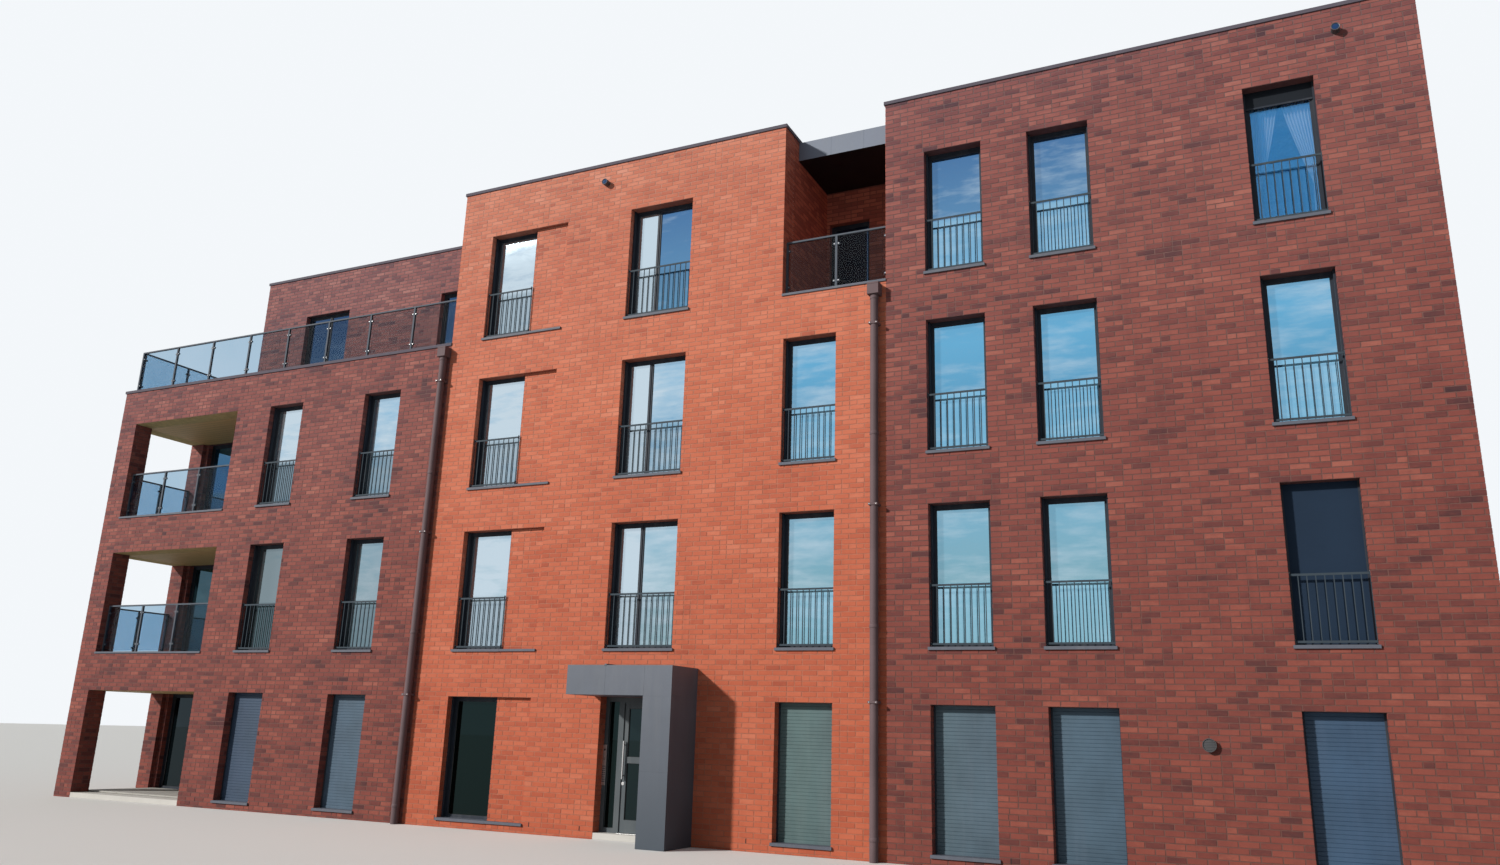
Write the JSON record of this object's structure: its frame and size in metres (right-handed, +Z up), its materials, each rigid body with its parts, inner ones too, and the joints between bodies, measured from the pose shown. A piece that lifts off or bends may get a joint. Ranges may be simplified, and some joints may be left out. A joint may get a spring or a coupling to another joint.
{
  "type": "apartment block",
  "caption": "Flat-roofed brick apartment block in three flush parts, with corner loggias, a set-back penthouse, French windows and a portal with a hinged entrance door.",
  "frame": {"origin": "middle of the bounding box at ground level, on the underside of the ground floor", "axes": "+X along the street front from the loggia end to the party wall, +Y from the street front to the rear, +Z up"},
  "size_m": [26.39, 12.88, 12.19],
  "materials": {
    "dark_brick": "rough, mottled dark red brick with dark joints",
    "orange_brick": "rough orange red brick with joints",
    "concrete": "smooth plastered concrete",
    "soffit": "satin ochre boards",
    "coping_metal": "satin anthracite sheet",
    "frame_metal": "satin anthracite",
    "glass": "clear, slightly blue",
    "sill_metal": "satin sheet",
    "railing_metal": "satin grey",
    "shutter": "satin blue grey slats",
    "screen": "dark woven screen",
    "balustrade_metal": "satin grey",
    "portal_metal": "satin grey sheet",
    "door_metal": "satin anthracite",
    "pull_steel": "brushed",
    "pipe_metal": "satin dark grey",
    "fitting_metal": "satin dark grey"
  },
  "bodies": {
    "building": {"ground_floor": "concrete", "floor_1": "concrete", "floor_2": "concrete", "floor_3": "concrete", "main_roof": "concrete", "penthouse_roof": "concrete", "left_front_wall": "dark_brick", "corner_pier": "dark_brick", "loggia_bands": "dark_brick", "loggia_back_walls": "dark_brick", "loggia_side_walls": "dark_brick", "loggia_soffits": "soffit", "left_end_wall": "dark_brick", "left_back_wall": "dark_brick", "middle_wall_left": "orange_brick", "middle_wall_right": "orange_brick", "middle_wall_upper": "orange_brick", "middle_wall_top": "orange_brick", "middle_side_walls": "orange_brick", "middle_back_wall": "orange_brick", "recess_side_walls": "orange_brick", "recess_back_wall": "orange_brick", "recess_roof": "portal_metal", "right_front_wall": "dark_brick", "right_end_wall": "dark_brick", "right_back_wall": "dark_brick", "penthouse_front_wall": "dark_brick", "penthouse_end_wall": "dark_brick", "penthouse_back_wall": "dark_brick", "left_coping": "coping_metal", "main_coping": "coping_metal", "penthouse_coping": "coping_metal", "front_frames": "frame_metal", "rear_frames": "frame_metal", "balcony_door_frames": "frame_metal", "front_glass": "glass", "rear_glass": "glass", "balcony_door_glass": "glass", "window_sills": "sill_metal", "front_railings": "railing_metal", "rear_railings": "railing_metal", "roller_shutters": "shutter", "window_screens": "screen", "opening_copings": "sill_metal", "opening_balustrades": "balustrade_metal", "roof_balustrades": "balustrade_metal", "roof_end_balustrade": "balustrade_metal", "balustrade_glass": "glass", "entrance_portal": "portal_metal", "door_frame": "door_metal", "call_panel": "pull_steel", "downpipes": "pipe_metal", "wall_fittings": "fitting_metal"},
    "door": {"entrance_door": "door_metal", "door_glass": "glass", "door_pulls": "pull_steel"}
  },
  "joints": [
    {"name": "entrance_hinge", "type": "hinge", "parent": "building", "child": "door", "pos_m": [1.612, -5.309, 0], "axis": [0, 0, -1], "range_deg": [0, 90]}
  ]
}
